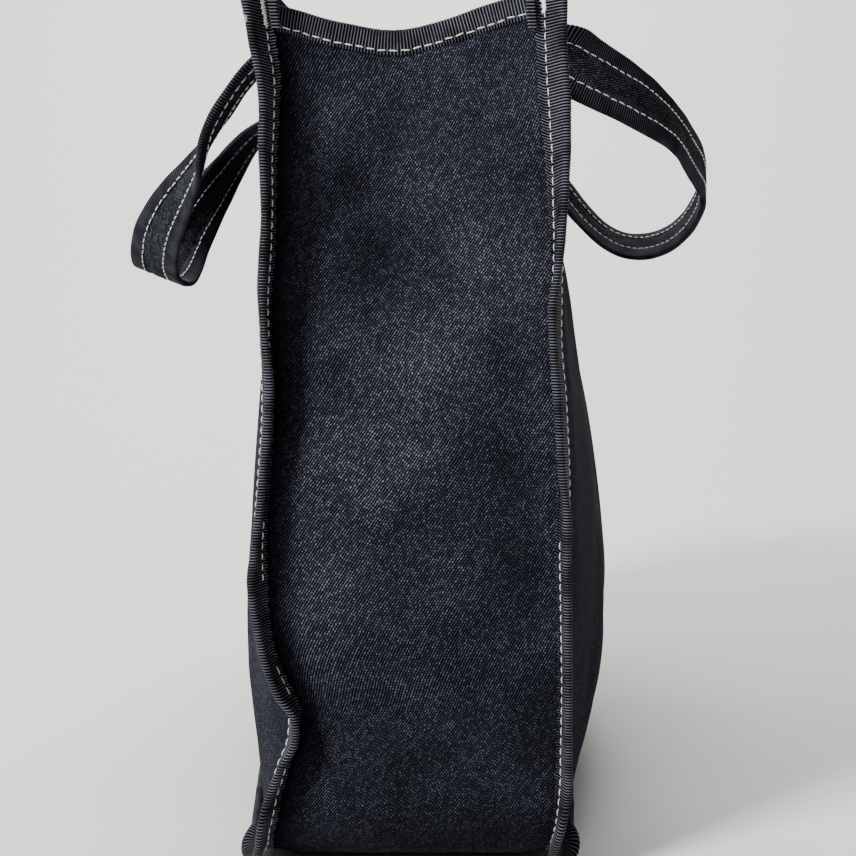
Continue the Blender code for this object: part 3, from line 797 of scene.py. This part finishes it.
def flat_tape(name, edge, across, normal, along, reach, half, front, back, material, seed):
    """Tape folded over the edge of flat cloth. across points out of the cloth at each station of the edge."""
    outline, outward = folded_outline(reach, half, front, back)
    outline = np.broadcast_to(outline, (len(edge), *outline.shape)).copy()
    outline[..., 0] += 0.22 * MM * ripple(along, seed + 9, 0.041)[:, None]
    front_slack = ripple(along, seed, 0.034)[:, None]
    back_slack = -ripple(along, seed + 4, 0.027)[:, None]
    outline[..., 1] += 0.20 * MM * np.where(outline[..., 1] > 0, front_slack, back_slack)
    points = edge[:, None, :] + laid(across, normal, outline)
    lean = np.zeros(outline.shape[:2])
    direction = unit(np.gradient(edge, axis=0))
    return ribbed_tape(name, points, laid(across, normal, outward), direction, along, lean, material)


SKIRT = 3.3 * MM
SKIRT_POINTS = 4
PUCKER = {"right": 1.3 * MM, "left": 0.5 * MM}


def seam_tape(word, material):
    """The tape over a raised seam. Past the stitching each arm turns out onto the cloth beside the seam."""
    rows = int(round(SEAM_LENGTH / RIB_PITCH)) * RIB_ROWS
    s = np.linspace(0.0, SEAM_LENGTH, rows)
    point, edge, toward_panel, outward = seam_frames(word, s)
    sideways = np.array([SIDE[word], 0.0, 0.0])
    slack = 0.16 * MM * ripple(s, 3.0 + SIDE[word], 0.030)[:, None]
    fold, fold_out = folded_outline(TAPE_REACH, TAPE_HALF, TAPE_REACH - 1.5 * MM, TAPE_REACH - 1.5 * MM)
    normals = laid(edge, toward_panel, fold_out)
    outline = laid(edge, toward_panel, fold) + normals * slack[:, None, :]
    panel_end = sideways * (1.1 * MM) - outward * SKIRT
    scallop = 0.35 * MM * np.sin(2 * np.pi * s / (4 * RIB_PITCH))[:, None]
    gusset_end = outward * (1.9 * MM) - sideways * (SKIRT + scallop)
    share = np.linspace(0.0, 1.0, SKIRT_POINTS + 1)[:-1][None, :, None]
    panel_start = outline[:, :1]
    gusset_start = outline[:, -1:]
    panel_bend = panel_start - edge[:, None, :] * (0.9 * MM)
    gusset_bend = gusset_start - edge[:, None, :] * (0.9 * MM)
    panel_skirt = bend_through(panel_end[:, None, :], panel_bend, panel_start, share)
    gusset_skirt = bend_through(gusset_end[:, None, :], gusset_bend, gusset_start, share)[:, ::-1]
    panel_normals = unit(mix(sideways, toward_panel[:, None, :], share))
    gusset_normals = unit(mix(outward[:, None, :], -toward_panel[:, None, :], share))[:, ::-1]
    outline = np.concatenate([panel_skirt, outline, gusset_skirt], axis=1) + point[:, None, :]
    normals = np.concatenate([panel_normals, normals, gusset_normals], axis=1)
    columns = outline.shape[1]
    from_fold = np.abs(np.linspace(-1.0, 1.0, columns))
    lean = np.sin(np.pi * np.clip((from_fold - 0.25) / 0.75, 0, 1) ** 1.4) * PUCKER[word]
    lean = lean[None, :] * (0.8 + 0.4 * ripple(s, 6.0, 0.05)[:, None])
    direction = unit(np.gradient(point, axis=0))
    return ribbed_tape(f"tape_seam_{word}", outline, normals, direction, s, lean, material)


def bend_through(start, middle, end, share):
    """Points on a quadratic curve."""
    return start * (1 - share) ** 2 + middle * 2 * share * (1 - share) + end * share**2


def panel_mouth_path(word):
    reach = LENGTH / 2 - 1.5 * MM
    y = np.linspace(-reach, reach, int(2 * reach / RIB_PITCH) * RIB_ROWS)
    edge = mouth_edge_of_panel(word, y, HEIGHT)
    below = mouth_edge_of_panel(word, y, HEIGHT - 10 * MM)
    return edge, unit(edge - below)


def mouth_edge_of_panel(word, y, z):
    z = np.full_like(y, z)
    return np.stack([SIDE[word] * panel_distance(word, y, z), y, sagged(y, z)], axis=-1)


def gusset_mouth_edge(place, across, z):
    """Points of a gusset at a height measured along its cloth."""
    near = place == "near"
    offset = gusset_offset(across[None, :], np.full((1, len(across)), z), np.array([[near]]))[0]
    s = np.array([HEIGHT - z]) if near else np.array([SEAM_LENGTH - HEIGHT + z])
    left, _, left_panel, outward = seam_frames("left", s)
    right, _, right_panel, _ = seam_frames("right", s)
    share = ((across + 1) / 2)[:, None]
    points = left * (1 - share) + right * share - outward * offset[:, None]
    points[:, 2] -= mouth_drop(across, z, near)
    return points


def gusset_mouth_path(place):
    half = GUSSET_HALF_MOUTH
    reach = 1 - 3.0 * MM / half
    across = np.linspace(-reach, reach, int(2 * half * reach / RIB_PITCH) * RIB_ROWS)
    edge = gusset_mouth_edge(place, across, HEIGHT)
    below = gusset_mouth_edge(place, across, HEIGHT - 10 * MM)
    return edge, unit(edge - below)


def mouth_frames(edge, up):
    along_direction = unit(np.gradient(edge, axis=0))
    up = unit(up - along_direction * (up * along_direction).sum(axis=1, keepdims=True))
    normal = np.cross(along_direction, up)
    along = np.concatenate([[0.0], np.cumsum(np.linalg.norm(np.diff(edge, axis=0), axis=1))])
    return up, normal, along


def mouth_tape(name, edge, up, material, seed):
    up, normal, along = mouth_frames(edge, up)
    piece = flat_tape(name, edge, up, normal, along, MOUTH_TAPE_REACH, MOUTH_TAPE_HALF, MOUTH_TAPE_FRONT,
                      MOUTH_TAPE_BACK, material, seed)
    return piece, (edge, up, normal, along)


# --- Stitches ---


def stitch_row(name, place, direction, face, material, radius=STITCH_RADIUS, shown=None):
    """A row of stitches as one piece: each is a short arched thread that dives into the cloth at its ends.

    place, direction and face hold a row for every station of a fine path, an equal step apart, and shown
    says at which stations a stitch may start.
    """
    step = np.linalg.norm(np.diff(place, axis=0), axis=1).mean()
    per = max(int(round(STITCH_PITCH / step)), 4)
    span = max(int(round(STITCH_LENGTH / step)), 3)
    starts = np.arange(2, len(place) - span - 2, per)
    rings = 7
    sides = 6
    bulge = np.linspace(0, 1, rings)
    angle, section = circle(sides)
    points = []
    faces = []
    uv = []
    for start in starts:
        if shown is not None and not shown[start]:
            continue
        jitter = 0.12 * MM * random.standard_normal(2)
        index = start + bulge * span
        low = np.floor(index).astype(int)
        part = (index - low)[:, None]
        centre = place[low] * (1 - part) + place[low + 1] * part
        way = unit(direction[start + span // 2])
        out = unit(face[start + span // 2])
        cross = unit(np.cross(way, out))
        height = (np.sin(bulge * math.pi) ** 0.6 * 0.30 - 0.12) * MM
        centre = centre + out * height[:, None] + cross * (jitter[0] + (bulge - 0.5)[:, None] * jitter[1] * 2)
        swell = radius * np.sin(np.clip(bulge * 0.86 + 0.07, 0, 1) * math.pi) ** 0.35
        tube = centre[:, None, :] + laid(cross[None], out[None], section) * swell[:, None, None]
        faces.append(grid_faces(rings, sides, closed=True, start=len(points) * rings * sides))
        points.append(tube.reshape(-1, 3))
        uv.append(paired((angle * radius)[None, :], (bulge * STITCH_LENGTH)[:, None]).reshape(-1, 2))
    return build_mesh(name, np.vstack(points), np.vstack(faces), np.vstack(uv), materials=[material])


# Heights between which the puckered tape hides the near gusset's row.
COVERED_STITCHES = {
    "right": ((0.143, 0.188),),
    "left": ((0.056, 0.079), (0.093, 0.124), (0.150, 0.186)),
}


def seam_stitches(word, material):
    """The row that shows on the gusset's side of a bound seam, and the one on the panel's side."""
    s = np.linspace(4 * MM, SEAM_LENGTH - 4 * MM, 4200)
    point, edge, toward_panel, _ = seam_frames(word, s)
    covered = np.zeros(len(s), dtype=bool)
    for low, high in COVERED_STITCHES[word]:
        covered |= (s < STRAIGHT) & (point[:, 2] > low) & (point[:, 2] < high)
    rows = []
    for label, sign in (("gusset", -1.0), ("panel", 1.0)):
        face = toward_panel * sign
        wander = 0.35 * MM * ripple(s, 2.0 + sign, 0.19)[:, None]
        place = point + edge * (SEAM_STITCH + wander) + face * (TAPE_HALF + RIB_HEIGHT)
        shown = ~covered if label == "gusset" else None
        name = f"stitches_seam_{word}_{label}"
        direction = np.gradient(place, axis=0)
        rows.append(stitch_row(name, place, direction, face, material, SEAM_STITCH_RADIUS, shown))
    return rows


def mouth_stitches(name, path, material):
    edge, up, normal, along = path
    rows = []
    for label, sign in (("outer", 1.0), ("inner", -1.0)):
        face = normal * sign
        wander = 0.3 * MM * ripple(along, 3.0 + sign, 0.13)[:, None]
        place = edge - up * (MOUTH_STITCH + wander) + face * (MOUTH_TAPE_HALF + RIB_HEIGHT)
        rows.append(stitch_row(f"stitches_{name}_{label}", place, np.gradient(place, axis=0), face, material))
    return rows


def bar_tack(word, place, material):
    """Close zigzag stitching along the top of a bound seam, on the gusset's side, with its loose ends."""
    turns = 30
    s = np.linspace(0.3 * MM, BAR_TACK_LENGTH[word], turns)
    s = s if place == "near" else SEAM_LENGTH - s
    point, edge, toward_panel, outward = seam_frames(word, s)
    way = np.where(np.arange(turns) % 2 == 0, 1.0, -1.0)
    swing = way * (0.95 + 0.30 * random.standard_normal(turns)) * MM
    path = point + edge * (SEAM_STITCH + swing)[:, None] - toward_panel * (TAPE_HALF + 0.45 * MM)
    runs = [(path, 0.30 * MM)]
    if word == "left":
        tip = (point + edge * (TAPE_REACH - 1.0 * MM))[-4] + outward[-4] * 1.4 * MM
        runs += [(end, 0.09 * MM) for end in loose_ends(tip, SIDE[word])]
    return threads(f"bar_tack_{place}_{word}", runs, -toward_panel.mean(axis=0), material)


def loose_ends(tip, side):
    """Paths of a few cut thread ends that stick out sideways from a point."""
    paths = []
    for number in range(6):
        start = tip + np.array([0.0, 0.0, 0.45 * (number - 2.5)]) * MM
        reach = (3.5 + 3.5 * random.random()) * MM
        rise = (0.25 * (number - 2.5) + 0.3 * random.standard_normal()) * reach
        middle = start + np.array([side * reach * 0.5, 0.0, 0.1 * rise])
        end = start + np.array([side * reach, 0.0, rise])
        paths.append(bend_through(start, middle, end, np.linspace(0, 1, 9)[:, None]))
    return paths


def tape_end(word, place, material):
    """The cut end of the mouth's tape, turned down and caught under the seam's bar tack."""
    s = np.linspace(-2.5 * MM, TAPE_END_LENGTH, 60)
    s = s if place == "near" else SEAM_LENGTH - s
    point, _, _, outward = seam_frames(word, np.clip(s, 0.0, SEAM_LENGTH))
    inward = np.array([-SIDE[word], 0.0, 0.0])
    edge = point + inward * (4.2 * MM) + outward * (2.6 * MM)
    edge[:, 2] = HEIGHT - np.minimum(s, SEAM_LENGTH - s)
    along = np.abs(s - s[0])
    across = np.broadcast_to(inward, edge.shape)
    return flat_tape(f"tape_end_{place}_{word}", edge, across, outward, along, 1.7 * MM, 0.85 * MM, 3.4 * MM,
                     3.4 * MM, material, 1.0 + SIDE[word])


def tab_stitches(word, end, material):
    """Two rows of stitches across the foot of a strap's sewn end."""
    side = SIDE[word]
    foot = tab_points(word, end)
    rows = []
    for number, height in enumerate(TAB_STITCH_HEIGHTS):
        z = foot[0, 2] + height
        x = np.interp(z, foot[:, 2], np.abs(foot[:, 0])) + STRAP_TAPE_HALF + 0.5 * MM
        y = foot[0, 1] + np.linspace(-TAB_STITCH_HALF, TAB_STITCH_HALF, 101)
        place = np.column_stack([np.full_like(y, side * x), y, np.full_like(y, z)])
        face = np.tile([side, 0.0, 0.0], (len(y), 1))
        label = "near" if end < 0 else "far"
        name = f"stitches_tab_{word}_{label}_{number}"
        rows.append(stitch_row(name, place, np.gradient(place, axis=0), face, material))
    return rows


# --- Straps ---


def tab_points(word, end):
    """The sewn end of a strap, from its lower end up to just under the hinge."""
    side = SIDE[word]
    y = end * STRAP_SPACING / 2
    hinge = hinge_of(word)
    top = hinge[2] - 3.5 * MM
    foot = sagged(y, HEIGHT) - 10 * MM
    z = np.linspace(top - TAB_LENGTH, top, 9)
    y_row = np.full_like(z, y)
    over_denim = 2.4 * MM
    over_tape = abs(hinge[0]) - panel_distance(word, y_row, z)[-1]
    lift = mix(over_denim, over_tape, ease((z - foot + 12 * MM) / (10 * MM)))
    x = panel_distance(word, y_row, z) + panel_folds(word, y_row, z) * 0.9 + lift
    width = np.tile([0.0, end, 0.0], (len(z), 1))
    return np.column_stack([side * x, y_row, z, width])


def hinge_of(word):
    for joint in frame["joints"]:
        if joint["name"] == f"handle_{word}_swing":
            return joint["pos_m"]
    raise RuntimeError(f"no joint for the {word} handle")


def strap_frames(word, step):
    """Centre line, width and face directions of a whole strap, from its near sewn end to its far one."""
    hinge = hinge_of(word)
    near_tab = tab_points(word, -1.0)
    far_tab = tab_points(word, 1.0)[::-1]
    near_hinge = [[hinge[0], -STRAP_SPACING / 2, hinge[2] + 0.4 * MM, 0.0, -1.0, 0.0]]
    far_hinge = [[hinge[0], STRAP_SPACING / 2, hinge[2] + 0.4 * MM, 0.0, 1.0, 0.0]]
    table = np.vstack([near_tab, near_hinge, np.array(LOOP[word]), far_hinge, far_tab])
    fine = spline(table, 1600)
    even, along = even_spacing(fine, step)
    centre = even[:, :3]
    direction = unit(np.gradient(centre, axis=0))
    width = even[:, 3:]
    width = unit(width - direction * (width * direction).sum(axis=1, keepdims=True))
    face = np.cross(direction, width) * SIDE[word]
    return centre, direction, width, face, along


def strap_core(name, centre, width, face, along, material):
    """The doubled denim of a strap, a little puffed and puckered between its two tapes."""
    half = STRAP_WIDTH / 2 - TAPE_CLOTH - 0.4 * MM
    share = np.linspace(-1, 1, 13)
    puff = (1 - share**2) ** 2
    pucker = ripple(along[:, None] + share[None, :] * 6 * MM, 3.0, 0.015)
    pucker = pucker + 0.5 * np.sin(along[:, None] / (2.1 * MM) - share[None, :] * 2.5)
    groove = np.sin(7 * share[None, :] + 2.5 * ripple(along[:, None], 8.0, 0.060))
    thick = STRAP_CORE_HALF + puff * (0.65 + 0.35 * pucker + 0.40 * groove) * MM
    middle = centre[:, None, :] + width[:, None, :] * (share * half)[None, :, None]
    top = middle + face[:, None, :] * thick[..., None]
    bottom = (middle - face[:, None, :] * thick[..., None])[:, ::-1]
    points = np.concatenate([top, bottom], axis=1)
    place = np.concatenate([share, share[::-1]]) * half
    uv = paired(place[None, :], along[:, None])
    faces = capped_tube_faces(len(centre), len(place))
    return build_mesh(name, points, faces, uv, {"wear": np.ones(uv.shape[:2])}, [material])


def strap(word, denim, tape, thread):
    """A strap's denim, its two ribbed tapes and its stitches, each one piece from end to end."""
    step = RIB_PITCH / RIB_ROWS
    centre, direction, width, face, along = strap_frames(word, step)
    core = strap_core(f"denim_strap_{word}", centre[::4], width[::4], face[::4], along[::4], denim)
    pieces = [core]
    for label, sign in (("outer", 1.0), ("inner", -1.0)):
        piece = flat_tape(f"tape_strap_{word}_{label}", centre, width * sign, face, along, STRAP_WIDTH / 2,
                          STRAP_TAPE_HALF, STRAP_TAPE_FRONT, STRAP_TAPE_BACK, tape, 2.0 + sign)
        pieces.append(piece)
        for side_name, way in (("front", 1.0), ("back", -1.0)):
            wander = 0.35 * MM * ripple(along, 5.0 + sign + way, 0.11)[:, None]
            place = centre + width * sign * (STRAP_WIDTH / 2 - STRAP_STITCH + wander)
            place = place + face * way * (STRAP_TAPE_HALF + RIB_HEIGHT)
            name = f"stitches_strap_{word}_{label}_{side_name}"
            pieces.append(stitch_row(name, place, direction, face * way, thread))
    return pieces


# --- Putting it together ---


def sew(piece, slot, *replaced):
    """Let a piece ride on the bag's body, and hide the CAD nodes it stands for. The slot argument is not used.
    """
    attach(piece, "root")
    if replaced:
        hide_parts(*replaced)


def build_mouth(label, edge, up, tape, thread, seed):
    """The tape over one of the mouth's four edges, and its two rows of stitches."""
    piece, path = mouth_tape(f"tape_mouth_{label}", edge, up, tape, seed)
    sew(piece, "navy_grosgrain", f"mouth_binding_{label}")
    for row in mouth_stitches(f"mouth_{label}", path, thread):
        sew(row, "white_thread")


def build_bag():
    denim = denim_material("denim_face", (0.0004, 0.0005, 0.0016), (0.38, 0.40, 0.56), 0.43)
    strap_denim = denim_material("denim_strap", (0.0004, 0.0005, 0.0012), (0.34, 0.37, 0.44), 0.42)
    reverse = denim_material("denim_reverse", (0.040, 0.044, 0.062), (0.42, 0.43, 0.46), 3.0)
    # The tapes' bright colours are the painted highlights of their rib crests.
    tape = tape_material("navy_grosgrain", (0.22, 0.225, 0.28))
    strap_tape = tape_material("strap_grosgrain", (0.13, 0.135, 0.18))
    thread = thread_material("white_thread", (0.92, 0.93, 0.93))
    strip = gusset_strip([denim, reverse])
    sew(strip, "indigo_denim", "gusset_strip")
    for word in SIDE:
        piece = panel(word, [denim, reverse])
        sew(piece, "indigo_denim", f"panel_{word}")
        sew(seam_tape(word, tape), "navy_grosgrain", f"seam_binding_{word}")
        for row in seam_stitches(word, thread):
            sew(row, "white_thread")
        build_mouth(word, *panel_mouth_path(word), tape, thread, 3.0)
    for place in END:
        build_mouth(place, *gusset_mouth_path(place), tape, thread, 6.0)
    for word in SIDE:
        build_strap(word, strap_denim, strap_tape, thread)
        for end in END.values():
            for row in tab_stitches(word, end, thread):
                sew(row, "white_thread")
    for word in SIDE:
        for place in END:
            sew(bar_tack(word, place, thread), "white_thread", f"bar_tack_{place}_{word}")
            sew(tape_end(word, place, tape), "navy_grosgrain")


def build_strap(word, denim, tape, thread):
    for piece in strap(word, denim, tape, thread):
        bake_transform(piece)
        if piece.name.startswith("denim"):
            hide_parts(f"handle_{word}", f"strap_end_{word}_near", f"strap_end_{word}_far")
        elif piece.name.startswith("tape"):
            label = piece.name.rsplit("_", 1)[1]
            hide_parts(f"handle_{word}_tape_{label}", f"strap_end_{word}_near_tape_{label}",
                        f"strap_end_{word}_far_tape_{label}")


def build_stage():
    """A pale floor that curves up into a pale wall."""
    n = Nodes("stage_pale")
    n.surface(Base_Color=(0.83, 0.83, 0.82, 1.0), Roughness=0.9, Specular_IOR_Level=0.1)
    width = 6.0
    radius = 1.4
    curve_start = 0.7
    profile = [(-9.0, 0.0)]
    for turn in np.linspace(0, math.pi / 2, 49):
        profile.append((curve_start + radius * math.sin(turn), radius * (1 - math.cos(turn))))
    profile.append((curve_start + radius, 4.0))
    points = [(x, y, z) for y, z in profile for x in (-width, width)]
    floor = build_mesh("floor", np.array(points), grid_faces(len(profile), 2)[:, ::-1], materials=[n.material])


def area_light(name, place, target, size, power, color):
    light = bpy.data.lights.new(name, "AREA")
    light.shape = "SQUARE"
    light.size = size
    light.energy = power
    light.color = color
    lamp = bpy.data.objects.new(name, light)
    lamp.location = place
    lamp.rotation_euler = (Vector(target) - Vector(place)).to_track_quat("-Z", "Y").to_euler()
    bpy.context.scene.collection.objects.link(lamp)


def build_lights():
    world = bpy.data.worlds.new("studio")
    world.use_nodes = True
    world.node_tree.nodes["Background"].inputs["Color"].default_value = (0.96, 0.98, 1.0, 1.0)
    world.node_tree.nodes["Background"].inputs["Strength"].default_value = 0.07
    bpy.context.scene.world = world
    area_light("key", (-1.45, -1.35, 1.55), (0.0, -0.1, 0.25), 0.5, 92.0, (1.0, 0.99, 0.97))
    area_light("top", (-0.3, 0.2, 1.9), (0.0, 0.1, 0.1), 1.4, 5.0, (1.0, 1.0, 1.0))
    area_light("wall", (0.0, 0.9, 2.4), (0.0, 2.0, 0.6), 1.6, 75.0, (1.0, 0.99, 0.97))


CAMERA_PLACE = (0.0064, -0.770, 0.2506)
CAMERA_PITCH = 6.22
CAMERA_LENS = 60.98


def build_camera():
    data = bpy.data.cameras.new("camera")
    data.sensor_width = 36.0
    data.lens = CAMERA_LENS
    data.clip_start = 0.01
    camera = bpy.data.objects.new("camera", data)
    camera.location = CAMERA_PLACE
    camera.rotation_euler = (math.radians(90 - CAMERA_PITCH), 0.0, 0.0)
    bpy.context.scene.collection.objects.link(camera)
    bpy.context.scene.camera = camera


build_stage()
build_lights()
build_camera()
build_bag()
